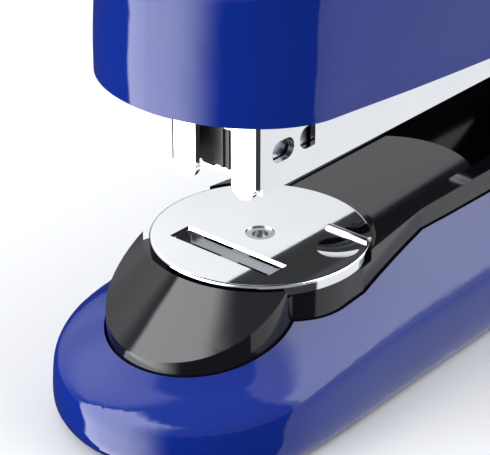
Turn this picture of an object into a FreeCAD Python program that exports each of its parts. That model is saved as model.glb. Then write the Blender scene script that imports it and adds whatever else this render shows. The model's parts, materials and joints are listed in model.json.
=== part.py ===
import FreeCAD, Part
from FreeCAD import Vector as V
import math
import os

# Desk stapler. Millimetres, Z up, floor at z = 0, nose towards -Y, width along X.
# The origin is the centre of the footprint on the floor.

# ---- overall sizes -------------------------------------------------------
LENGTH = 186.0          # base, nose to tail
BASE_W = 41.0           # widest part of the base, at both ends
WAIST = 1.0             # how far each side draws in at mid length
WALL = 2.2              # moulded wall of the blue shells
CLEAR = 0.05            # running clearance of turning and sliding fits

HALF_W = BASE_W / 2
HALF_L = LENGTH / 2
END_Y = LENGTH / 2 - HALF_W          # centre of the round ends

# ---- anvil ---------------------------------------------------------------
ANVIL_Y = -END_Y + 11.5              # axis of the turning disc
ANVIL_R = 15.0
ANVIL_T = 1.5
ANVIL_TOP = 21.0
DISC_Z = ANVIL_TOP - ANVIL_T
PEDESTAL_Z = DISC_Z - 0.2
PEDESTAL_R = ANVIL_R - 0.3
APRON_R = 12.9
APRON_Y = ANVIL_Y - 11.7
APRON_GAP = 0.9
APRON_FALL = 0.9                     # drop of the apron per mm outwards
SLOT_Y = -6.7                        # slot centre from the disc axis
SLOT_W = 3.1
SLOT_L = 16.6
RIVET_HEAD_R = 2.0
RIVET_R = 1.6
POCKET_Z = 14.5
RIDGE_X = 6.2                        # inner end of the finger ridge
RIDGE_Y = 7.2
RIDGE_R = 0.75
DIE_L = 17.6
DIE_W = 3.8

# ---- base ----------------------------------------------------------------
SHELL_Z = 1.0
TUCK = 0.6                           # undercut of the shell at its foot
SHOULDER = 0.4                       # easing of the shoulder, mm drop times mm inset
RING_IN = 9.8                        # plan width of the sloping deck
LIP_X = 12.3                         # outside of the insert behind the anvil
LIP_IN = 9.6
LIP_Z = 21.0
DECK_Z = 19.5
FIT = 0.3                            # gap between insert and shell
SHELL_ROOM = 6.2                     # height of the hollow under the blue deck
WELL_Y0 = ANVIL_Y + 36.0
WELL_Y1 = END_Y + 7.0
WELL_Z = 9.5
PLATE_Z = 2.0
PLATE_T = 1.0
FOOT_R = 5.5
FOOT_X = 10.0
FOOT_Y = END_Y - 3.0

BOSS_X = 7.0
BOSS_Y = (ANVIL_Y + 24.0, END_Y - 30.0)
DIE_SWEEP = math.hypot(DIE_L / 2, abs(SLOT_Y) + DIE_W / 2) + 0.4

# ---- hinge ---------------------------------------------------------------
PIVOT_Y = END_Y - 1.0
PIVOT_Z = 38.5
PIN_R = 2.0
EAR_GAP = 0.5                        # bracket ear to head frame
EAR_T = 1.6
EAR_R = 6.0
BRACKET_Y = PIVOT_Y - 2.0
BRACKET_Y0 = PIVOT_Y - 12.0
BRACKET_Y1 = PIVOT_Y + 3.0

# ---- magazine and what it holds -------------------------------------------
MAG_X = 7.6
MAG_T = 0.9
MAG_Z0 = 32.2
MAG_Z1 = 42.7
MAG_Y0 = ANVIL_Y - 9.4               # front face of the folds
MAG_Y1 = PIVOT_Y + 6.0
FOLD_X = 3.1
FOLD_Z = 31.2
SLOT_Z = 35.8                        # lower edge of the side slot
SLOT_H = 3.2
SLOT_Y0 = ANVIL_Y - 1.1
SLOT_Y1 = ANVIL_Y + 72.0
STAPLE_GAP = 0.3                     # staple leg to magazine wall
RAIL_GAP = 0.25                      # rail to the inside of a staple leg
RAIL_Z0 = MAG_Z0 + MAG_T
RAIL_Z1 = 39.7
RAIL_Y0 = ANVIL_Y - 7.0
RAIL_Y1 = RAIL_Y0 + 106.0
STAPLE_T = 0.5
STAPLE_X = MAG_X - MAG_T - STAPLE_GAP
RAIL_X = STAPLE_X - STAPLE_T - RAIL_GAP
STAPLE_H = 6.3
STRIP_L = 26.0
STRIP_Y0 = RAIL_Y0 + 0.2
PUSH_L = 12.0
PUSH_Y0 = STRIP_Y0 + STRIP_L + 0.1
ROD_R = 1.0
ROD_Z = 36.4
SPRING_R = 2.4

SEAT_Y = RAIL_Y1 - 11.0              # spring seat
SEAT_Z = RAIL_Z1 + 2.0
LIFT_R = 4.0
LEAF_Y0 = ANVIL_Y + 49.5             # leaf spring under the magazine
LEAF_Y1 = ANVIL_Y + 106.0
LEAF_T = 0.6

# ---- head ----------------------------------------------------------------
COVER_Y0 = ANVIL_Y - 22.3            # front of the cover at its lower edge
COVER_NOSE = 16.0                    # depth of the rounded nose
COVER_X0 = 18.8                      # half width where the nose ends
COVER_X1 = 22.0                      # half width at the tail
COVER_Y1 = LENGTH / 2 - 3.0
COVER_TOP = 77.5
COVER_FOOT = 32.0                    # level below which the cover's skin isn't needed
COVER_EDGE = 46.7                    # height of the lower edge at the nose
EDGE_FALL = 0.035
FLARE = 30.0                         # length over which the cover widens behind its nose
COVER_ROUND = 8.0                    # rounding of the roof edge
LEAN = 0.045                         # backward lean of the nose
FRAME_T = 1.2
FRAME_GAP = 0.6                      # head frame to magazine
FRAME_X = MAG_X + FRAME_GAP + FRAME_T
EAR_X = FRAME_X + EAR_GAP            # inside of the bracket ears
FRAME_Z = 52.5
FRAME_Z0 = 45.7
FRAME_Y0 = ANVIL_Y - 14.0
BLADE_R = PIVOT_Y - (MAG_Y0 + MAG_T) - 0.5
BLADE_T = 0.6
BLADE_GAP = 0.4                      # blade edge to magazine wall
BLADE_X = MAG_X - MAG_T - BLADE_GAP
BLADE_Z0 = 40.8
LEVER_GAP = 0.5                      # lever side to magazine wall
LEVER_X = MAG_X - MAG_T - LEVER_GAP
LEVER_Z = 47.5
LEVER_T = 1.2
COVER_SCREW_Y = (ANVIL_Y + 22.0, END_Y - 35.0)
CLAMP_X = 8.0

os.makedirs("parts", exist_ok=True)


# ---- helpers ---------------------------------------------------------------
def save(name, shape):
    """Write one piece of the stapler."""
    shape.exportStep("parts/" + name + ".step")


def block(x0, x1, y0, y1, z0, z1):
    return Part.makeBox(x1 - x0, y1 - y0, z1 - z0, V(x0, y0, z0))


def wide(half, y0, y1, z0, z1):
    """Block centred on the plane of symmetry."""
    return block(-half, half, y0, y1, z0, z1)


def rod(radius, x, y, z0, z1):
    return Part.makeCylinder(radius, z1 - z0, V(x, y, z0))


def bar(radius, x0, x1, y, z):
    """Round bar along X."""
    return Part.makeCylinder(radius, x1 - x0, V(x0, y, z), V(1, 0, 0))


def along(radius, y0, y1, x, z):
    """Round bar along Y."""
    return Part.makeCylinder(radius, y1 - y0, V(x, y0, z), V(0, 1, 0))


def prism(points, z0, z1):
    wire = Part.makePolygon([V(x, y, z0) for x, y in points + points[:1]])
    return Part.Face(wire).extrude(V(0, 0, z1 - z0))


def side_prism(points, x0, x1):
    """Extrusion along X of an outline given as y, z."""
    wire = Part.makePolygon([V(x0, y, z) for y, z in points + points[:1]])
    return Part.Face(wire).extrude(V(x1 - x0, 0, 0))


def both(shape):
    """A shape and its mirror image across the plane of symmetry."""
    return shape, shape.mirror(V(0, 0, 0), V(1, 0, 0))


def fused(*shapes):
    first = shapes[0]
    return first.fuse(list(shapes[1:])).removeSplitter() if len(shapes) > 1 else first


def rounded(shape, radius, pick):
    """Fillet the edges that pick accepts; pick sees each edge's bounding box."""
    edges = [e for e in shape.Edges if pick(e.BoundBox)]
    return shape.makeFillet(radius, edges) if edges else shape


def obround(length, width, y, z, x0, x1):
    """Slot along Y with round ends, cut through in X."""
    half = length / 2 - width / 2
    core = block(x0, x1, y - half, y + half, z - width / 2, z + width / 2)
    return fused(core, bar(width / 2, x0, x1, y - half, z), bar(width / 2, x0, x1, y + half, z))


def ease(t):
    t = min(1.0, max(0.0, t))
    return t * t * (3 - 2 * t)


# ---- base shell -------------------------------------------------------------
def base_outline(inset):
    """Half of the base in plan, nose to tail, drawn in by inset."""
    r = HALF_W - inset
    out = []
    for i in range(8):
        a = math.radians(i * 90 / 8)
        out.append((r * math.sin(a), -END_Y - r * math.cos(a)))
    for i in range(10):
        y = -END_Y + 2 * END_Y * i / 9
        out.append((r - WAIST * (1 - (y / END_Y) ** 2) ** 2, y))
    for i in range(1, 9):
        a = math.radians(90 - i * 90 / 8)
        out.append((r * math.sin(a), END_Y + r * math.cos(a)))
    out[0] = (0.0, out[0][1])
    out[-1] = (0.0, out[-1][1])
    return out


def shoulder_height(y):
    """Height of the edge between the upright side and the sloping deck."""
    front = 7.4 + 3.1 * ease((y + HALF_L + 3.0) / 32.0)
    return front - 2.5 * ease((y - HALF_L + 36.0) / 36.0)


def deck_height(y):
    """Height of the blue deck at RING_IN from the outline."""
    front = 12.0 + 8.2 * ease((y + HALF_L - 2.0) / 40.0)
    return front - 7.0 * ease((y - HALF_L + 36.0) / 36.0)


def spacing(points):
    """Distance along an outline at each of its points."""
    out = [0.0]
    for a, b in zip(points, points[1:]):
        out.append(out[-1] + math.hypot(b[0] - a[0], b[1] - a[1]))
    return out


def level_line(points, height, marks):
    """Right and left halves of one level line, from half a plan outline."""
    over = [(-x, y) for x, y in points[2:0:-1]] + points + [(-x, y) for x, y in points[-2:-4:-1]]
    end = marks[-1]
    at = [-m for m in marks[2:0:-1]] + marks + [2 * end - m for m in marks[-2:-4:-1]]
    halves = []
    for flip in (1, -1):
        curve = Part.BSplineCurve()
        curve.interpolate(Points=[V(flip * x, y, height(y)) for x, y in over], Parameters=at)
        curve.segment(0.0, end)
        halves.append(curve.toShape())
    return halves


def skinned(rings):
    """Solid skinned through level lines; the first is flat, the last is bridged across."""
    faces = []
    for side in (0, 1):
        faces += Part.makeLoft([Part.Wire([r[side]]) for r in rings], False, False).Faces
    faces.append(Part.Face(Part.Wire(rings[0])))
    faces += Part.makeRuledSurface(rings[-1][0], rings[-1][1]).Faces
    shell = Part.Shell(faces)
    shell.sewShape()
    return Part.Solid(shell)


def shell_form():
    """Solid inside the outer skin of the base: upright side, eased shoulder, sloping deck."""
    marks = spacing(base_outline(0.0))
    first = 0.12
    fall = SHOULDER / first
    rings = [level_line(base_outline(TUCK), lambda y: SHELL_Z, marks)]
    for inset, share in ((0.4 * TUCK, 0.2), (0.1 * TUCK, 0.5), (0.1 * TUCK, 0.75)):
        level = lambda y, s=share: SHELL_Z + (shoulder_height(y) - fall - SHELL_Z) * s
        rings.append(level_line(base_outline(inset), level, marks))
    for inset in (first, 0.2, 0.33, 0.55, 0.9, 1.5, 2.5, 4.0, 6.0, 8.0, RING_IN):
        share = inset / RING_IN
        drop = SHOULDER / inset
        level = lambda y, s=share, d=drop: shoulder_height(y) * (1 - s) + deck_height(y) * s - d
        rings.append(level_line(base_outline(inset), level, marks))
    return skinned(rings)


def insert_plan(grow, z0, z1):
    """Plan of the black insert, made larger by grow, between two heights."""
    r = PEDESTAL_R + grow
    x = LIP_X + grow
    neck = [(-r, ANVIL_Y), (r, ANVIL_Y), (r, ANVIL_Y + 4.0), (x, ANVIL_Y + 20.0), (x, END_Y), (-x, END_Y)]
    neck += [(-x, ANVIL_Y + 20.0), (-r, ANVIL_Y + 4.0)]
    return fused(
        rod(APRON_R + grow, 0, APRON_Y, z0, z1),
        rod(r, 0, ANVIL_Y, z0, z1),
        prism(neck, z0, z1),
        rod(x, 0, END_Y, z0, z1),
    )


def base_shell():
    shell = shell_form().cut(insert_plan(FIT, -1.0, 40.0))
    marks = spacing(base_outline(0.0))
    floor = Part.Face(Part.Wire(level_line(base_outline(WALL + 0.8), lambda y: 0.0, marks)))
    hollow = floor.extrude(V(0, 0, SHELL_ROOM)).cut(insert_plan(FIT + WALL, -1.0, 40.0))
    return shell.cut(hollow).cut(floor.extrude(V(0, 0, PLATE_Z + PLATE_T)))


# ---- base insert --------------------------------------------------------------
def apron():
    """Front of the insert: a cylinder whose top falls away as a cone round the disc."""
    body = rod(APRON_R, 0, APRON_Y, PLATE_Z + PLATE_T, ANVIL_TOP)
    r0 = ANVIL_R + APRON_GAP
    reach = 14.0
    top = ANVIL_TOP - 0.35
    cone = Part.makeCone(r0, r0 + reach, reach * APRON_FALL, V(0, ANVIL_Y, top), V(0, 0, -1))
    cone = fused(cone, rod(r0, 0, ANVIL_Y, top - 0.01, top))
    low = rod(r0 + reach, 0, ANVIL_Y, PLATE_Z, top - reach * APRON_FALL)
    body = body.common(fused(cone, low))
    return body.cut(rod(r0, 0, ANVIL_Y, PEDESTAL_Z, 30))


def base_insert():
    z0 = PLATE_Z + PLATE_T
    body = fused(
        apron(),
        insert_plan(0.0, z0, PEDESTAL_Z).cut(block(-30, 30, -120, ANVIL_Y - 8.0, z0, 40)).fuse(
            rod(PEDESTAL_R, 0, ANVIL_Y, z0, PEDESTAL_Z)),
    )
    # deck and side lips behind the disc
    back = insert_plan(0.0, PEDESTAL_Z - 1.0, LIP_Z).common(block(-30, 30, ANVIL_Y, 120, 0, 40))
    trough = wide(LIP_IN, ANVIL_Y - 1.0, END_Y, DECK_Z, 30)
    trough = fused(trough, rod(LIP_IN, 0, END_Y, DECK_Z, 30))
    trough = rounded(trough, 1.4, lambda b: b.ZLength < 0.01 and b.ZMin < DECK_Z + 0.01 and b.YLength > 20)
    back = back.cut(trough)
    back = back.cut(rod(ANVIL_R + 0.6, 0, ANVIL_Y, PEDESTAL_Z, 30))
    rim = rod(ANVIL_R + 1.6, 0, ANVIL_Y, PEDESTAL_Z - 1.0, DECK_Z + 0.5)
    rim = rim.cut(rod(ANVIL_R + 0.6, 0, ANVIL_Y, PEDESTAL_Z, 30))
    rim = rim.common(insert_plan(0.0, 0, 40)).common(block(-30, 30, ANVIL_Y, 120, 0, 40))
    body = fused(body, back, rim)
    # the open well under the magazine
    well = wide(LIP_IN - 0.6, WELL_Y0, WELL_Y1 - 6.0, WELL_Z, 40)
    well = fused(well, rod(LIP_IN - 0.6, 0, WELL_Y1 - 6.0, WELL_Z, 40))
    well = well.cut(rod(LIP_IN + 3.0, 0, WELL_Y0 - 8.0, 0, 40))
    body = body.cut(well)
    # hollows moulded in from below
    hollow = wide(LIP_X - 2.0, WELL_Y0 + 4.0, END_Y, z0 - 1, WELL_Z - 1.8)
    hollow = hollow.fuse(wide(LIP_X - 2.0, ANVIL_Y + 18.0, WELL_Y0 - 2.0, z0 - 1, DECK_Z - 2.0))
    hollow = hollow.fuse(rod(APRON_R - 2.0, 0, ANVIL_Y, z0 - 1, POCKET_Z - 1.8))
    for y in BOSS_Y:
        for x in (-BOSS_X, BOSS_X):
            hollow = hollow.cut(rod(2.8, x, y, 0, 20))
    body = body.cut(hollow)
    for y in BOSS_Y:
        for x in (-BOSS_X, BOSS_X):
            body = body.cut(rod(1.25, x, y, z0 - 1, WELL_Z - 1.0))
    # round pocket in which the die and its leaf spring live
    pocket = rod(DIE_SWEEP, 0, ANVIL_Y, POCKET_Z, 30).cut(rod(3.6, 0, ANVIL_Y, 0, PEDESTAL_Z))
    body = body.cut(pocket)
    body = body.cut(rod(RIVET_R + 0.02, 0, ANVIL_Y, 0, 40))
    # seats for the hinge bracket and the return spring screws
    body = body.cut(rod(1.5, 0, BRACKET_Y, 0, 40))
    body = body.cut(rod(1.5, 0, LEAF_Y1 - 5.0, 0, 40))
    return body




def base_plate():
    grow = HALF_W - 3.6
    plate = fused(
        rod(grow, 0, -END_Y, PLATE_Z, PLATE_Z + PLATE_T),
        rod(grow, 0, END_Y, PLATE_Z, PLATE_Z + PLATE_T),
        wide(grow - WAIST, -END_Y, END_Y, PLATE_Z, PLATE_Z + PLATE_T),
    )
    for y in BOSS_Y:
        for x in (-BOSS_X, BOSS_X):
            plate = plate.cut(rod(1.6, x, y, 0, 20))
    plate = plate.cut(rod(3.2, 0, ANVIL_Y, 0, 20))
    plate = plate.cut(rod(1.5, 0, BRACKET_Y, 0, 40))
    return plate.cut(rod(1.5, 0, LEAF_Y1 - 5.0, 0, 40))


def foot(x, y):
    """Rubber pad with a domed edge."""
    pad = rod(FOOT_R, x, y, 0, PLATE_Z)
    return rounded(pad, 0.5, lambda b: b.ZMax < 0.01)


def plate_screw(x, y):
    """Self-tapping screw up into a boss of the insert."""
    head = Part.makeCone(1.6, 2.6, 1.0, V(x, y, PLATE_Z), V(0, 0, -1))
    screw = fused(head, rod(1.25, x, y, PLATE_Z, WELL_Z - 1.5))
    cross = fused(block(x - 1.5, x + 1.5, y - 0.25, y + 0.25, 0, 1.5),
                  block(x - 0.25, x + 0.25, y - 1.5, y + 1.5, 0, 1.5))
    return screw.cut(cross)


# ---- anvil ------------------------------------------------------------------
def anvil_disc():
    disc = rod(ANVIL_R, 0, ANVIL_Y, DISC_Z, ANVIL_TOP)
    disc = disc.makeFillet(0.4, [e for e in disc.Edges if e.BoundBox.ZMin > ANVIL_TOP - 0.01])
    y = ANVIL_Y + SLOT_Y
    slot = wide(SLOT_L / 2, y - SLOT_W / 2, y + SLOT_W / 2, DISC_Z - 1, ANVIL_TOP + 1)
    slot = rounded(slot, 0.7, lambda b: b.ZLength > 1)
    bevel = Part.makeLoft([
        Part.makePolygon([V(px, y + py, z) for px, py in corners])
        for z, corners in (
            (ANVIL_TOP - 0.35, rectangle(SLOT_L / 2, SLOT_W / 2)),
            (ANVIL_TOP + 0.02, rectangle(SLOT_L / 2 + 0.37, SLOT_W / 2 + 0.37)),
        )
    ], True, True)
    disc = disc.cut(fused(slot, bevel))
    disc = disc.cut(rod(RIVET_R + CLEAR, 0, ANVIL_Y, 0, 30))
    disc = disc.cut(rod(RIVET_HEAD_R + CLEAR, 0, ANVIL_Y, ANVIL_TOP - 0.8, 30))
    # two shallow finger dishes with a raised ridge between them
    for y, radius, depth in ((RIDGE_Y - 3.7, 12.0, 0.35), (RIDGE_Y + 2.1, 6.0, 0.7)):
        disc = disc.cut(Part.makeSphere(radius, V(RIDGE_X + 4.4, ANVIL_Y + y, ANVIL_TOP + radius - depth)))
    height = ANVIL_TOP - 0.15
    ridge = fused(
        bar(RIDGE_R, RIDGE_X, ANVIL_R, ANVIL_Y + RIDGE_Y, height),
        Part.makeSphere(RIDGE_R, V(RIDGE_X, ANVIL_Y + RIDGE_Y, height)),
    )
    ridge = ridge.common(rod(ANVIL_R - 0.4, 0, ANVIL_Y, DISC_Z, 30))
    return fused(disc, ridge)


def rectangle(hx, hy):
    return [(-hx, -hy), (hx, -hy), (hx, hy), (-hx, hy), (-hx, -hy)]


def anvil_die():
    """Steel block under the slot with the two grooves that clinch the staple."""
    y = ANVIL_Y + SLOT_Y
    die = wide(DIE_L / 2, y - DIE_W / 2, y + DIE_W / 2, DISC_Z - 1.5, DISC_Z)
    for flip in (-1, 1):
        bend = bar(4.0, 0, 1.1, 0, 0)
        bend.rotate(V(0, 0, 0), V(0, 0, 1), 90)
        bend.translate(V(flip * 4.1, y - 0.55, DISC_Z + 3.0))
        die = die.cut(bend)
    return die


def anvil_rivet():
    """Hollow rivet on which the disc turns."""
    body = fused(
        rod(RIVET_R, 0, ANVIL_Y, POCKET_Z - 2.4, ANVIL_TOP - 0.3),
        rod(RIVET_HEAD_R, 0, ANVIL_Y, ANVIL_TOP - 0.75, ANVIL_TOP - 0.2),
        rod(2.6, 0, ANVIL_Y, POCKET_Z - 2.4, POCKET_Z - 1.8),
    )
    hole = rod(1.1, 0, ANVIL_Y, ANVIL_TOP - 1.1, ANVIL_TOP)
    return body.cut(hole)


def anvil_detent_spring():
    """Leaf that bears on the die in its two working positions."""
    y0 = ANVIL_Y + 4.2
    y1 = ANVIL_Y + 10.4
    leaf = wide(4.0, ANVIL_Y + 4.2, y1, POCKET_Z, POCKET_Z + 0.4)
    rise = DISC_Z - 1.55
    tongue = side_prism([(y0, POCKET_Z), (y0 + 0.4, POCKET_Z), (y0 + 2.6, rise - 0.4),
                         (y0 + 4.2, rise - 0.4), (y0 + 4.2, rise), (y0 + 2.3, rise)], -2.0, 2.0)
    return fused(leaf, tongue)


# ---- hinge --------------------------------------------------------------------
def hinge_bracket():
    """Steel bracket with two joggled ears that carry the hinge pin."""
    t = EAR_T
    foot_x = LIP_IN - 0.8
    floor = wide(foot_x, BRACKET_Y0, BRACKET_Y1, WELL_Z, WELL_Z + t)
    parts = [floor]
    knee = LIP_Z + 1.0
    for flip in (0, 1):
        low = block(foot_x - t, foot_x, BRACKET_Y0, BRACKET_Y1, WELL_Z, knee + t)
        step = block(foot_x - t, EAR_X + t, BRACKET_Y0, BRACKET_Y1, knee, knee + t)
        ear = side_prism([(BRACKET_Y0, knee), (BRACKET_Y1, knee), (PIVOT_Y + EAR_R, PIVOT_Z),
                          (PIVOT_Y - EAR_R, PIVOT_Z)], EAR_X, EAR_X + t)
        ear = ear.fuse(bar(EAR_R, EAR_X, EAR_X + t, PIVOT_Y, PIVOT_Z))
        parts += [both(s)[flip] for s in (low, step, ear)]
    bracket = fused(*parts)
    bracket = bracket.cut(bar(PIN_R, -20, 20, PIVOT_Y, PIVOT_Z))
    return bracket.cut(rod(1.5, 0, BRACKET_Y, 0, 20))


def hinge_pin():
    end = EAR_X + EAR_T
    pin = bar(PIN_R, -end - 1.6, end + 1.2, PIVOT_Y, PIVOT_Z)
    pin = pin.fuse(bar(PIN_R + 1.2, end, end + 1.2, PIVOT_Y, PIVOT_Z))
    groove = bar(PIN_R + 1, -end - 0.8, -end, PIVOT_Y, PIVOT_Z).cut(bar(PIN_R - 0.4, -40, 0, PIVOT_Y, PIVOT_Z))
    return pin.cut(groove)


def hinge_circlip():
    end = EAR_X + EAR_T
    clip = bar(PIN_R + 1.3, -end - 0.8, -end, PIVOT_Y, PIVOT_Z).cut(bar(PIN_R - 0.4, -40, 0, PIVOT_Y, PIVOT_Z))
    return clip.cut(block(-40, 0, PIVOT_Y - 1.0, PIVOT_Y + 1.0, PIVOT_Z - 9, PIVOT_Z - 0.6))


def floor_rivet(y, top):
    """Solid rivet through the base plate, the insert and one steel foot."""
    body = rod(1.5, 0, y, PLATE_Z, top)
    return fused(body, rod(2.8, 0, y, PLATE_Z - 0.8, PLATE_Z), rod(2.8, 0, y, top, top + 0.8))


# ---- magazine -------------------------------------------------------------------
def magazine_channel():
    t = MAG_T
    inner = MAG_X - t
    channel = wide(MAG_X, MAG_Y0, MAG_Y1, MAG_Z0, MAG_Z1)
    channel = rounded(channel, 0.8, lambda b: b.ZLength > 5 and b.YMin < MAG_Y0 + 0.1)
    channel = channel.fuse(wide(MAG_X, MAG_Y0, MAG_Y0 + t, FOLD_Z, MAG_Z0 + 1).common(
        fused(bar(1.9, -8, 8, 0, 0), block(-8, 8, -9, 9, 0, 20)).translated(V(0, MAG_Y0, FOLD_Z + 1.9))))
    channel = channel.cut(wide(inner, MAG_Y0 + t, MAG_Y1 + 1, MAG_Z0 + t, 60))
    channel = channel.cut(wide(inner, MAG_Y0 + t, RAIL_Y0 + 0.4, 0, 60))
    channel = channel.cut(wide(FOLD_X, MAG_Y0 - 1, MAG_Y0 + t + 0.1, 0, 60))
    for flip in (-1, 1):
        mid = flip * (FOLD_X + 6.4) / 2
        r = (6.9 - FOLD_X) / 2
        keep = fused(along(r, MAG_Y0 - 1, MAG_Y0 + t, flip * (FOLD_X + r), FOLD_Z + r),
                     block(*sorted((flip * FOLD_X, flip * 9)), MAG_Y0 - 1, MAG_Y0 + t, FOLD_Z + r, 60))
        zone = block(*sorted((flip * 2, flip * 9)), MAG_Y0 - 1, MAG_Y0 + t, FOLD_Z - 1, FOLD_Z + r)
        channel = channel.cut(zone.cut(keep))
    channel = channel.cut(obround(4.4, 3.0, ANVIL_Y - 4.4, SLOT_Z + 1.5, -20, 20))
    mid = (SLOT_Y0 + SLOT_Y1) / 2
    channel = channel.cut(obround(SLOT_Y1 - SLOT_Y0, SLOT_H, mid, SLOT_Z + SLOT_H / 2, -20, 20))
    tail = block(-9, 9, PIVOT_Y, MAG_Y1 + 1, 0, 60).cut(bar(6.0, -9, 9, PIVOT_Y, PIVOT_Z))
    channel = channel.cut(tail)
    channel = channel.cut(wide(inner, PIVOT_Y - 4.0, MAG_Y1 + 1, 0, 60))
    return channel.cut(bar(PIN_R + CLEAR, -20, 20, PIVOT_Y, PIVOT_Z))


def side_strip():
    """Flat strip that fills the long slot of one side plate, short of its front end."""
    y0 = SLOT_Y0 + 3.2
    y1 = SLOT_Y1 - SLOT_H / 2
    return block(MAG_X - MAG_T + 0.1, MAG_X, y0, y1, SLOT_Z, SLOT_Z + SLOT_H - 0.3)


def staple_rail():
    t = 0.8
    rail = wide(RAIL_X, RAIL_Y0, RAIL_Y1, RAIL_Z0, RAIL_Z1)
    rail = rail.cut(wide(RAIL_X - t, RAIL_Y0 - 1, RAIL_Y1 + 1, RAIL_Z0 - 1, RAIL_Z1 - t))
    return rail.cut(wide(1.6, PUSH_Y0 - 1.0, RAIL_Y1 - 24.0, 0, 60))


def front_guide_block():
    """Moulded block closing the front of the rail, with a central rib."""
    x = RAIL_X - 0.8
    body = wide(x, RAIL_Y0 + 0.3, RAIL_Y0 + 9.0, RAIL_Z0, RAIL_Z1 - 0.8)
    body = body.fuse(wide(0.7, RAIL_Y0 - 0.1, RAIL_Y0 + 1.0, RAIL_Z0 + 0.1, RAIL_Z1 - 0.8))
    return body.cut(wide(0.35, RAIL_Y0 - 1.0, RAIL_Y0 + 0.2, RAIL_Z0 - 1, 60))


def staple_strip():
    strip = wide(STAPLE_X, STRIP_Y0, STRIP_Y0 + STRIP_L, RAIL_Z1 + STAPLE_T - STAPLE_H, RAIL_Z1 + STAPLE_T)
    strip = rounded(strip, 0.3, lambda b: b.YLength > 5 and b.ZMin > RAIL_Z1)
    strip = strip.cut(wide(STAPLE_X - STAPLE_T, STRIP_Y0 - 1, STRIP_Y0 + STRIP_L + 1, 0, RAIL_Z1))
    return strip


def pusher():
    """Saddle on the rail that presses the staples forward."""
    y1 = PUSH_Y0 + PUSH_L
    x = MAG_X - MAG_T - CLEAR
    body = wide(x, PUSH_Y0, y1, RAIL_Z0 + 0.3, MAG_Z1 - 0.4)
    body = rounded(body, 0.8, lambda b: b.YLength > 5 and b.ZMin > RAIL_Z1)
    body = body.cut(wide(RAIL_X + CLEAR, PUSH_Y0 - 1, y1 + 1, 0, RAIL_Z1 + CLEAR))
    tongue = wide(1.4, y1 - 6.0, y1, ROD_Z - 2.2, RAIL_Z1 + 1.0)
    body = body.fuse(tongue)
    return body.cut(along(ROD_R + CLEAR, PUSH_Y0 - 1, y1 + 1, 0, ROD_Z))


def pusher_rod():
    return along(ROD_R, RAIL_Y0 + 9.0, RAIL_Y1 - 1.0, 0, ROD_Z)


def rail_end_stop():
    """Block that closes the rail and holds the rear end of the rod."""
    x = RAIL_X - 0.8
    body = wide(x, RAIL_Y1 - 3.0, RAIL_Y1, RAIL_Z0, RAIL_Z1 - 0.8)
    return body.cut(along(ROD_R, RAIL_Y1 - 4.0, RAIL_Y1 - 1.0, 0, ROD_Z))


def pusher_spring():
    y0 = PUSH_Y0 + PUSH_L + 0.05
    y1 = RAIL_Y1 - 3.05
    tube = along(SPRING_R, y0, y1, 0, ROD_Z)
    return tube.cut(along(SPRING_R - 0.9, y0 - 1, y1 + 1, 0, ROD_Z))


def spring_seat():
    """Bridge across the magazine on which the lifting spring stands."""
    x = MAG_X - MAG_T
    seat = wide(x, SEAT_Y - 5.5, SEAT_Y + 5.5, SEAT_Z - 1.0, SEAT_Z)
    return seat.fuse(wide(RAIL_X, SEAT_Y - 5.5, SEAT_Y + 5.5, RAIL_Z1, SEAT_Z - 1.0)).removeSplitter()


def lift_spring():
    coil = rod(LIFT_R, 0, SEAT_Y, SEAT_Z + 0.05, LEVER_Z - 0.05)
    return coil.cut(rod(LIFT_R - 1.0, 0, SEAT_Y, 0, 60))


def lift_lever():
    """Sprung strap on the hinge pin that carries the head."""
    y0 = SEAT_Y - 30.0
    y1 = PIVOT_Y - 5.0
    strap = wide(LEVER_X, y0, y1, LEVER_Z, LEVER_Z + LEVER_T)
    strap = rounded(strap, 3.0, lambda b: b.ZLength > 1 and b.YMax < y0 + 0.1)
    side = side_prism([(y1 - 14.0, LEVER_Z), (y1, LEVER_Z), (PIVOT_Y + 4.0, PIVOT_Z),
                       (PIVOT_Y - 4.0, PIVOT_Z)], LEVER_X - LEVER_T, LEVER_X)
    side = fused(side, bar(4.0, LEVER_X - LEVER_T, LEVER_X, PIVOT_Y, PIVOT_Z),
                 block(LEVER_X - LEVER_T, LEVER_X, y1 - 14.0, y1, LEVER_Z - 0.1, LEVER_Z + LEVER_T))
    lever = fused(strap, *both(side))
    return lever.cut(bar(PIN_R + CLEAR, -20, 20, PIVOT_Y, PIVOT_Z))


def head_bumper():
    y = SEAT_Y - 24.0
    pad = rod(4.0, 0, y, LEVER_Z + LEVER_T, FRAME_Z - 0.05)
    return pad.makeFillet(0.8, [e for e in pad.Edges if e.BoundBox.ZMin > FRAME_Z - 0.1])


def magazine_return_spring():
    """Leaf bent up from the well floor to the underside of the magazine."""
    t = LEAF_T
    heel = LEAF_Y1 - 12.0
    rise = MAG_Z0 - 0.1 - WELL_Z
    span = heel - LEAF_Y0

    def line(y):
        u = (heel - y) / span
        return WELL_Z + rise * u * (1.2 - 0.2 * u)

    n = 10
    ys = [heel - span * i / n for i in range(n + 1)]
    low = [V(0, y, line(y) - t * min(i, 2) / 2) for i, y in enumerate(ys)]
    top = [V(0, y, p.z + t) for y, p in zip(ys, low)]
    a = Part.BSplineCurve()
    a.interpolate(low)
    b = Part.BSplineCurve()
    b.interpolate(top)
    edges = [a.toShape(), Part.makeLine(low[-1], top[-1]), b.toShape(), Part.makeLine(top[0], low[0])]
    face = Part.Face(Part.Wire(Part.__sortEdges__(edges)))
    arm = face.extrude(V(8.0, 0, 0)).translated(V(-4.0, 0, 0))
    leaf = fused(arm, wide(4.0, heel, LEAF_Y1, WELL_Z, WELL_Z + t))
    return leaf.cut(rod(1.5, 0, LEAF_Y1 - 5.0, 0, 40))


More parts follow.
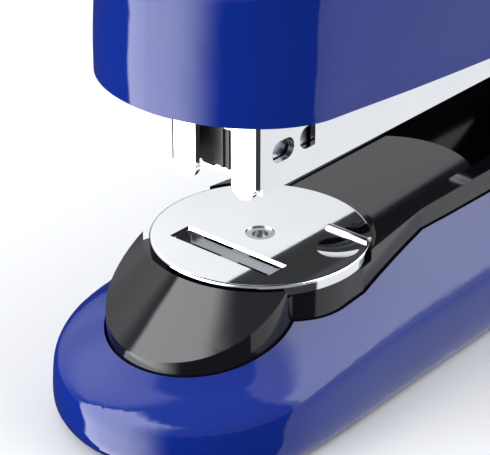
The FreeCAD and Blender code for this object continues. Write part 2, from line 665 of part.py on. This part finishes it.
# ---- head -----------------------------------------------------------------------
def cover_outline(inset, lean):
    """Half plan of the cover, nose to tail, drawn in by inset; lean moves the nose back."""
    nose_y = COVER_Y0 + COVER_NOSE
    tail_y = COVER_Y1 - COVER_X1
    pts = []
    for i in range(8):
        a = math.radians(i * 90 / 8)
        pts.append(((COVER_X0 - inset) * math.sin(a), nose_y + lean - (COVER_NOSE - inset) * math.cos(a)))
    n = 12
    for i in range(n + 1):
        y = nose_y + lean + (tail_y - nose_y - lean) * i / n
        flare = (COVER_X1 - COVER_X0) * (1 - math.exp(-(y - nose_y) / FLARE))
        pts.append((COVER_X0 + flare - inset, y))
    end = pts[-1][0]
    for i in range(1, 9):
        a = math.radians(90 - i * 90 / 8)
        pts.append((end * math.sin(a), tail_y + (COVER_X1 - inset) * math.cos(a)))
    pts[0] = (0.0, pts[0][1])
    pts[-1] = (0.0, pts[-1][1])
    return pts


def roof_height(y):
    """Height of the cover's crown."""
    return COVER_TOP - 9.5 * ((y - 5.0) / 90.0) ** 2


def cover_edge(y):
    """Height of the cover's lower edge."""
    return COVER_EDGE - EDGE_FALL * (y - COVER_Y0)


def cover_form(offset):
    """Solid inside the cover's skin moved inwards by offset."""
    r = COVER_ROUND
    marks = spacing(cover_outline(0.0, 0.0))
    foot = COVER_FOOT - offset
    rings = []

    def add(inset, level):
        lean = (level(COVER_Y0) - COVER_EDGE) * LEAN
        rings.append(level_line(cover_outline(inset, lean), level, marks))

    for share in (0.0, 0.2, 0.4, 0.6, 0.8, 0.93):
        add(0.3 * share + offset, lambda y, s=share: foot + (roof_height(y) - r - foot) * s)
    for angle in (0, 15, 30, 45, 60, 75, 90):
        a = math.radians(angle)
        rise = (r - offset) * math.sin(a) - r
        add((r - offset) * (1 - math.cos(a)) + offset + 0.3, lambda y, d=rise: roof_height(y) + d)
    add(r + 2.4, lambda y: roof_height(y) - offset + 0.15)
    return skinned(rings)


def cover():
    shell = cover_form(0.0)
    room = cover_form(WALL)
    bosses = [rod(4.0, 0, y, FRAME_Z + FRAME_T, 90) for y in COVER_SCREW_Y]
    shell = shell.cut(room.cut(fused(*bosses)))
    for y in COVER_SCREW_Y:
        shell = shell.cut(rod(1.3, 0, y, 0, FRAME_Z + FRAME_T + 8.0))
    edge = [(-150, cover_edge(-150)), (150, cover_edge(150)), (150, 0), (-150, 0)]
    return shell.cut(side_prism(edge, -60, 60))


def head_frame():
    t = FRAME_T
    y1 = PIVOT_Y + 6.0
    top = wide(FRAME_X, FRAME_Y0, y1 - 4.0, FRAME_Z, FRAME_Z + t)
    side = side_prism([(FRAME_Y0, FRAME_Z0), (PIVOT_Y - 26.0, FRAME_Z0), (PIVOT_Y - 5.0, PIVOT_Z),
                       (PIVOT_Y + 5.0, PIVOT_Z), (y1 - 4.0, FRAME_Z + t), (FRAME_Y0, FRAME_Z + t)],
                      FRAME_X - t, FRAME_X)
    side = side.fuse(bar(5.0, FRAME_X - t, FRAME_X, PIVOT_Y, PIVOT_Z))
    frame = fused(top, *both(side))
    frame = frame.cut(bar(PIN_R + CLEAR, -20, 20, PIVOT_Y, PIVOT_Z))
    for y in COVER_SCREW_Y:
        frame = frame.cut(rod(1.6, 0, y, 0, 90))
    slot = bar(BLADE_R + BLADE_T / 2, -BLADE_X, BLADE_X, PIVOT_Y, PIVOT_Z)
    slot = slot.cut(bar(BLADE_R - BLADE_T / 2, -BLADE_X, BLADE_X, PIVOT_Y, PIVOT_Z))
    return frame.cut(slot.common(wide(30, -120, ANVIL_Y, FRAME_Z - 5, FRAME_Z + 5)))


def driver_blade():
    """Blade curved about the hinge so that it stays in its gap through the stroke."""
    ring_r = bar(BLADE_R + BLADE_T / 2, -BLADE_X, BLADE_X, PIVOT_Y, PIVOT_Z)
    ring_r = ring_r.cut(bar(BLADE_R - BLADE_T / 2, -BLADE_X, BLADE_X, PIVOT_Y, PIVOT_Z))
    return ring_r.common(wide(30, -120, ANVIL_Y, BLADE_Z0, FRAME_Z + FRAME_T + 4.0))


def blade_clamp():
    """Block on the frame that grips the top of the blade."""
    z0 = FRAME_Z + FRAME_T
    body = wide(CLAMP_X, FRAME_Y0 + 1.0, FRAME_Y0 + 13.0, z0, z0 + 5.0)
    body = rounded(body, 1.0, lambda b: b.ZLength > 1)
    return body.cut(driver_blade())


def head_screw(y, z, depth):
    """Pan-head screw driven upwards through the frame."""
    head = rod(2.7, 0, y, z - 1.4, z)
    screw = fused(head, rod(1.3, 0, y, z, z + depth))
    cross = fused(block(-1.6, 1.6, y - 0.25, y + 0.25, z - 2, z - 0.7),
                  block(-0.25, 0.25, y - 1.6, y + 1.6, z - 2, z - 0.7))
    return screw.cut(cross)


def build():
    left = lambda shape: both(shape)[1]
    save("base_shell", base_shell())
    save("base_insert", base_insert())
    save("base_plate", base_plate())
    n = 0
    for y in (-FOOT_Y, FOOT_Y):
        for x in (-FOOT_X, FOOT_X):
            n += 1
            save("foot_%d" % n, foot(x, y))
    n = 0
    for y in BOSS_Y:
        for x in (-BOSS_X, BOSS_X):
            n += 1
            save("plate_screw_%d" % n, plate_screw(x, y))
    save("anvil_disc", anvil_disc())
    save("anvil_die", anvil_die())
    save("anvil_rivet", anvil_rivet())
    save("anvil_detent_spring", anvil_detent_spring())
    save("hinge_bracket", hinge_bracket())
    save("hinge_pin", hinge_pin())
    save("hinge_circlip", hinge_circlip())
    save("bracket_rivet", floor_rivet(BRACKET_Y, WELL_Z + EAR_T))
    save("leaf_rivet", floor_rivet(LEAF_Y1 - 5.0, WELL_Z + LEAF_T))
    save("magazine_return_spring", magazine_return_spring())
    save("magazine_channel", magazine_channel())
    save("side_strip_right", side_strip())
    save("side_strip_left", left(side_strip()))
    save("staple_rail", staple_rail())
    save("front_guide_block", front_guide_block())
    save("staple_strip", staple_strip())
    save("pusher", pusher())
    save("pusher_rod", pusher_rod())
    save("pusher_spring", pusher_spring())
    save("rail_end_stop", rail_end_stop())
    save("spring_seat", spring_seat())
    save("lift_spring", lift_spring())
    save("lift_lever", lift_lever())
    save("head_bumper", head_bumper())
    save("cover", cover())
    save("head_frame", head_frame())
    save("driver_blade", driver_blade())
    save("blade_clamp", blade_clamp())
    save("cover_screw_front", head_screw(COVER_SCREW_Y[0], FRAME_Z, FRAME_T + 7.0))
    save("cover_screw_rear", head_screw(COVER_SCREW_Y[1], FRAME_Z, FRAME_T + 7.0))


build()
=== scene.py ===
import json
import math

import bpy
from mathutils import Matrix, Vector


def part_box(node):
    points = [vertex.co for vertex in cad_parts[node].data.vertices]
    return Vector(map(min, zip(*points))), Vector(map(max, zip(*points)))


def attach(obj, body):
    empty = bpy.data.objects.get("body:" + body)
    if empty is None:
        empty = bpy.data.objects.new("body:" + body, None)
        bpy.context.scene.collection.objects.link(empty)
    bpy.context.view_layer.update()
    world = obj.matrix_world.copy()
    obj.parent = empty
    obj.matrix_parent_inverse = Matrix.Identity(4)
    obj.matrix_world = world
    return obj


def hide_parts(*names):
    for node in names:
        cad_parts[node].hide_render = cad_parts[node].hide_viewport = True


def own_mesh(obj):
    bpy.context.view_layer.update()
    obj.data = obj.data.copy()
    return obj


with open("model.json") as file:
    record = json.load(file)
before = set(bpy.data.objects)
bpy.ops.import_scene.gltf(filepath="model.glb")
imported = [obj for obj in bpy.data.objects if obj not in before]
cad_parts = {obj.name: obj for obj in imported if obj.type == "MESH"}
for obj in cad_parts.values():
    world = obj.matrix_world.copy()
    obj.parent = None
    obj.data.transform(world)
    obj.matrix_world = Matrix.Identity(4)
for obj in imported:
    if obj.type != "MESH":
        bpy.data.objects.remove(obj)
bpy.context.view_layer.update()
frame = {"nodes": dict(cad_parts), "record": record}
nodes = frame["nodes"]

AZIMUTH = math.radians(40.79)
ELEVATION = math.radians(27.61)
CAMERA = Vector((0.17017, -0.26133, 0.15923))
SENSOR = 36.0                         # camera sensor width, mm
LENS = 161.63                         # focal length, mm

LEAF_T = 0.0006                       # return spring: strip thickness
LEAF_HALF_W = 0.0039
LEAF_HEEL = 0.012                     # flat length at its riveted end
LEAF_STEPS = 28

RIGHT = Vector((math.cos(AZIMUTH), math.sin(AZIMUTH), 0))
BACK = Vector((math.sin(AZIMUTH) * math.cos(ELEVATION), -math.cos(AZIMUTH) * math.cos(ELEVATION),
               math.sin(ELEVATION)))
UP = BACK.cross(RIGHT)


# ---- materials ---------------------------------------------------------------
def new_material(name):
    mat = bpy.data.materials.new(name)
    mat.use_nodes = True
    tree = mat.node_tree
    return mat, tree, tree.nodes["Principled BSDF"]


def noise(tree, scale, detail=3.0, rough=0.5, stretch=(1, 1, 1)):
    coords = tree.nodes.new("ShaderNodeTexCoord")
    mapping = tree.nodes.new("ShaderNodeMapping")
    mapping.inputs["Scale"].default_value = stretch
    tree.links.new(coords.outputs["Object"], mapping.inputs["Vector"])
    tex = tree.nodes.new("ShaderNodeTexNoise")
    tex.inputs["Scale"].default_value = scale
    tex.inputs["Detail"].default_value = detail
    tex.inputs["Roughness"].default_value = rough
    tree.links.new(mapping.outputs["Vector"], tex.inputs["Vector"])
    return tex.outputs["Fac"]


def ramp(tree, value, low, high, at=(0.3, 0.7)):
    node = tree.nodes.new("ShaderNodeValToRGB")
    node.color_ramp.elements[0].position = at[0]
    node.color_ramp.elements[1].position = at[1]
    node.color_ramp.elements[0].color = (*low, 1)
    node.color_ramp.elements[1].color = (*high, 1)
    tree.links.new(value, node.inputs["Fac"])
    return node.outputs["Color"]


def span(tree, value, low, high):
    node = tree.nodes.new("ShaderNodeMapRange")
    node.inputs["To Min"].default_value = low
    node.inputs["To Max"].default_value = high
    tree.links.new(value, node.inputs["Value"])
    return node.outputs["Result"]


def bump(tree, shader, value, strength, distance):
    node = tree.nodes.new("ShaderNodeBump")
    node.inputs["Strength"].default_value = strength
    node.inputs["Distance"].default_value = distance
    tree.links.new(value, node.inputs["Height"])
    tree.links.new(node.outputs["Normal"], shader.inputs["Normal"])


def plastic(name, low, high, rough, coat, grain, depth):
    """Moulded plastic: faint colour drift, orange-peel surface and a clear gloss."""
    mat, tree, shader = new_material(name)
    tree.links.new(ramp(tree, noise(tree, 35), low, high), shader.inputs["Base Color"])
    tree.links.new(span(tree, noise(tree, 120, 4), rough[0], rough[1]), shader.inputs["Roughness"])
    shader.inputs["Specular IOR Level"].default_value = 0.5
    shader.inputs["Coat Weight"].default_value = coat
    shader.inputs["Coat Roughness"].default_value = 0.03
    shader.inputs["IOR"].default_value = 1.5
    bump(tree, shader, noise(tree, grain, 2), 0.08, depth)
    return mat


def metal(name, low, high, rough, stretch, depth):
    """Plated or drawn metal: brushed along one direction, with a faint tint drift."""
    mat, tree, shader = new_material(name)
    shader.inputs["Metallic"].default_value = 1.0
    tree.links.new(ramp(tree, noise(tree, 60), low, high), shader.inputs["Base Color"])
    grain = noise(tree, 400, 4, 0.6, stretch)
    tree.links.new(span(tree, grain, rough[0], rough[1]), shader.inputs["Roughness"])
    bump(tree, shader, noise(tree, 900, 2, 0.5, stretch), 0.06, depth)
    return mat


BLUE = plastic("cobalt_gloss", (0.0020, 0.0145, 0.165), (0.0026, 0.017, 0.188),
               (0.05, 0.08), 0.0, 260, 0.000006)
BLACK = plastic("black_gloss", (0.0035, 0.0035, 0.005), (0.006, 0.006, 0.008),
                (0.05, 0.08), 0.0, 300, 0.000006)
MATTE = plastic("black_moulded", (0.012, 0.012, 0.014), (0.022, 0.022, 0.024),
                (0.38, 0.50), 0.0, 1400, 0.00006)
RUBBER = plastic("rubber", (0.02, 0.02, 0.02), (0.035, 0.035, 0.034),
                 (0.6, 0.75), 0.0, 1800, 0.0001)
CHROME = metal("chrome", (0.80, 0.81, 0.84), (0.86, 0.87, 0.89), (0.03, 0.07), (1, 1, 1), 0.000004)
STEEL = metal("zinc_steel", (0.42, 0.43, 0.45), (0.56, 0.57, 0.59), (0.22, 0.36), (1, 14, 1), 0.00002)
WIRE = metal("spring_wire", (0.36, 0.36, 0.37), (0.50, 0.50, 0.51), (0.16, 0.26), (1, 1, 12), 0.00001)
DARK = metal("blued_steel", (0.035, 0.035, 0.04), (0.07, 0.07, 0.075), (0.22, 0.34), (14, 1, 1), 0.00002)

FINISH = {
    "cobalt": BLUE,
    "black_gloss": BLACK,
    "black_matte": MATTE,
    "rubber": RUBBER,
    "chrome": CHROME,
    "zinc_steel": STEEL,
}
SLOTS = {s["node"]: s["material_slot"] for s in frame["record"]["subparts"]}
OWN = {"anvil_die": DARK, "anvil_detent_spring": DARK, "staple_strip": STEEL}
for name, obj in nodes.items():
    finish = OWN.get(name, FINISH[SLOTS[name]])
    for i in range(len(obj.material_slots)):
        obj.material_slots[i].material = finish
    if not obj.material_slots:
        obj.data.materials.append(finish)


# ---- springs -------------------------------------------------------------------
def coil(name, start, end, radius, wire, turns, per_turn=20, sides=8):
    """Round wire wound about the line from start to end, its end turns closed up."""
    axis = (end - start)
    length = axis.length
    axis = axis.normalized()
    u = axis.orthogonal().normalized()
    v = axis.cross(u)
    n = int(turns * per_turn)
    verts = []
    faces = []
    free = length - 2 * wire

    def point(t):
        k = t * turns
        if k < 1:
            lead = 0.35 * k / turns
        elif k > turns - 1:
            lead = 1 - 0.35 * (turns - k) / turns
        else:
            a = 0.35 / turns
            lead = a + (1 - 2 * a) * (k - 1) / (turns - 2)
        ang = 2 * math.pi * k
        spoke = u * math.cos(ang) + v * math.sin(ang)
        return start + axis * (wire + free * lead) + spoke * (radius - wire)

    pts = [point(i / n) for i in range(n + 1)]
    for i, p in enumerate(pts):
        tangent = (pts[min(i + 1, n)] - pts[max(i - 1, 0)]).normalized()
        radial = (p - start) - axis * (p - start).dot(axis)
        side = (radial - tangent * radial.dot(tangent)).normalized()
        other = tangent.cross(side)
        for k in range(sides):
            a = 2 * math.pi * k / sides
            verts.append(p + (side * math.cos(a) + other * math.sin(a)) * wire)
    for i in range(n):
        for k in range(sides):
            a = i * sides + k
            b = i * sides + (k + 1) % sides
            faces.append((a, b, b + sides, a + sides))
    faces.append(tuple(reversed(range(sides))))
    faces.append(tuple(range(n * sides, (n + 1) * sides)))
    mesh = bpy.data.meshes.new(name)
    mesh.from_pydata(verts, [], faces)
    mesh.update()
    for p in mesh.polygons:
        p.use_smooth = True
    obj = bpy.data.objects.new(name, mesh)
    bpy.context.collection.objects.link(obj)
    mesh.materials.append(WIRE)
    return obj


low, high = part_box("pusher_spring")
mid_x = (low[0] + high[0]) / 2
mid_z = (low[2] + high[2]) / 2
spring = coil("pusher_coil", Vector((mid_x, low[1], mid_z)), Vector((mid_x, high[1], mid_z)),
              (high[0] - low[0]) / 2, 0.00026, 34)
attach(spring, "magazine")
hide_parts("pusher_spring")
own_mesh(spring)

low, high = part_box("lift_spring")
mid_x = (low[0] + high[0]) / 2
mid_y = (low[1] + high[1]) / 2
lift = coil("lift_coil", Vector((mid_x, mid_y, low[2])), Vector((mid_x, mid_y, high[2])),
            (high[0] - low[0]) / 2, 0.00033, 3)
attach(lift, "magazine")
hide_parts("lift_spring")
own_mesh(lift)


low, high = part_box("magazine_return_spring")


def leaf_level(y):
    """Height of the leaf's underside above the well floor."""
    heel = high[1] - LEAF_HEEL
    rise = high[2] - LEAF_T - low[2]
    u = max(0.0, (heel - y) / (heel - low[1]))
    return rise * u * (1.2 - 0.2 * u)


def strip_mesh():
    """Corner points and faces of the leaf, from its riveted end to its tip."""
    verts = []
    for i in range(LEAF_STEPS + 1):
        y = high[1] + (low[1] - high[1]) * i / LEAF_STEPS
        z = low[2] + leaf_level(y)
        for side, up in ((-1, 0), (1, 0), (1, LEAF_T), (-1, LEAF_T)):
            verts.append((side * LEAF_HALF_W, y, z + up))
    faces = [(3, 2, 1, 0), tuple(4 * LEAF_STEPS + k for k in range(4))]
    for i in range(LEAF_STEPS):
        for k in range(4):
            a = 4 * i + k
            b = 4 * i + (k + 1) % 4
            faces.append((a, b, b + 4, a + 4))
    return verts, faces


verts, faces = strip_mesh()
mesh = bpy.data.meshes.new("leaf_strip")
mesh.from_pydata(verts, [], faces)
mesh.update()
leaf = bpy.data.objects.new("leaf_strip", mesh)
bpy.context.collection.objects.link(leaf)
mesh.materials.append(STEEL)
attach(leaf, "base")
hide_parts("magazine_return_spring")
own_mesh(leaf)


# ---- floor, light, camera --------------------------------------------------------
def plain_material(name, color, rough):
    mat, tree, shader = new_material(name)
    lighter = tuple(min(1, c * 1.01) for c in color)
    tree.links.new(ramp(tree, noise(tree, 3), color, lighter), shader.inputs["Base Color"])
    shader.inputs["Roughness"].default_value = rough
    return mat


bpy.ops.mesh.primitive_plane_add(size=6, location=(0, 0, 0))
floor = bpy.context.object
floor.name = "floor"
floor.data.materials.append(plain_material("floor_white", (0.64, 0.64, 0.65), 0.6))


class Sky:
    """Studio surround built from soft-edged windows over the directions of the world."""

    def __init__(self):
        world = bpy.data.worlds.new("studio")
        bpy.context.scene.world = world
        world.use_nodes = True
        self.tree = world.node_tree
        self.back = self.tree.nodes["Background"]
        coords = self.tree.nodes.new("ShaderNodeTexCoord")
        self.way = coords.outputs["Generated"]
        flat = self.vector("MULTIPLY", self.way, (1, 1, 0))
        self.plan = self.vector("NORMALIZE", flat)
        split = self.tree.nodes.new("ShaderNodeSeparateXYZ")
        self.tree.links.new(self.way, split.inputs[0])
        self.height = split.outputs["Z"]
        self.total = None

    def vector(self, kind, value, other=None):
        node = self.tree.nodes.new("ShaderNodeVectorMath")
        node.operation = kind
        self.tree.links.new(value, node.inputs[0])
        if other is not None:
            node.inputs[1].default_value = other
        return node.outputs["Value" if kind == "DOT_PRODUCT" else "Vector"]

    def step(self, value, start, end, low=0.0, high=1.0):
        node = self.tree.nodes.new("ShaderNodeMapRange")
        node.interpolation_type = "SMOOTHSTEP"
        node.inputs["From Min"].default_value = start
        node.inputs["From Max"].default_value = end
        node.inputs["To Min"].default_value = low
        node.inputs["To Max"].default_value = high
        self.tree.links.new(value, node.inputs["Value"])
        return node.outputs["Result"]

    def maths(self, kind, one, two):
        node = self.tree.nodes.new("ShaderNodeMath")
        node.operation = kind
        for slot, value in zip(node.inputs, (one, two)):
            if isinstance(value, float):
                slot.default_value = value
            else:
                self.tree.links.new(value, slot)
        return node.outputs[0]

    def arc(self, start, end, soft):
        """One between two compass angles in degrees, rising and falling inside them."""
        a, b = math.radians(start), math.radians(end)
        rise = self.vector("DOT_PRODUCT", self.plan, (-math.sin(a), math.cos(a), 0))
        fall = self.vector("DOT_PRODUCT", self.plan, (math.sin(b), -math.cos(b), 0))
        rise = self.step(rise, 0.0, math.sin(math.radians(soft[0])))
        fall = self.step(fall, 0.0, math.sin(math.radians(soft[1])))
        return self.maths("MULTIPLY", rise, fall)

    def above(self, angle, soft):
        """One above an elevation in degrees."""
        low, high = (math.sin(math.radians(v)) for v in (angle - soft / 2, angle + soft / 2))
        return self.step(self.height, low, high)

    def below(self, angle, soft):
        """One below an elevation in degrees."""
        low, high = (math.sin(math.radians(v)) for v in (angle - soft / 2, angle + soft / 2))
        return self.step(self.height, low, high, 1.0, 0.0)

    def window(self, strength, *masks):
        """Add a window of this strength where every mask is one."""
        value = strength
        for mask in masks:
            value = self.maths("MULTIPLY", mask, value)
        self.total = value if self.total is None else self.maths("ADD", self.total, value)

    def close(self, ground):
        """Add an even light all round, tint the sum and connect it."""
        total = self.maths("ADD", self.total, ground)
        tint = self.tree.nodes.new("ShaderNodeCombineColor")
        for channel, share in zip(("Red", "Green", "Blue"), (0.97, 0.985, 1.0)):
            self.tree.links.new(self.maths("MULTIPLY", total, share), tint.inputs[channel])
        self.tree.links.new(tint.outputs["Color"], self.back.inputs["Color"])
        self.back.inputs["Strength"].default_value = 1.0


# strength, compass arc in degrees, then elevations in degrees, each with the width of its soft edge
sky = Sky()
sky.window(5.5, sky.arc(-149, -72, (3, 40)), sky.above(-62, 6), sky.below(62, 8))
sky.window(0.9, sky.arc(10, 112, (3, 16)))
sky.window(2.6, sky.arc(14, 95, (8, 20)), sky.above(16, 12), sky.below(64, 12))
sky.window(0.52, sky.arc(60, 215, (40, 40)), sky.above(8, 16))
sky.window(1.2, sky.arc(-240, -150, (30, 10)), sky.above(30, 24))
sky.window(0.30, sky.above(0.5, 3))
sky.close(0.05)


# the floor isn't mirrored: below the horizon the gloss shows the surround
floor.visible_glossy = False


data = bpy.data.cameras.new("camera")
data.sensor_width = SENSOR
data.lens = LENS
data.clip_start = 0.01
camera = bpy.data.objects.new("camera", data)
camera.matrix_world = Matrix((
    (RIGHT.x, UP.x, BACK.x, CAMERA.x),
    (RIGHT.y, UP.y, BACK.y, CAMERA.y),
    (RIGHT.z, UP.z, BACK.z, CAMERA.z),
    (0, 0, 0, 1),
))
bpy.context.collection.objects.link(camera)
bpy.context.scene.camera = camera
bpy.context.scene.view_settings.view_transform = "Standard"
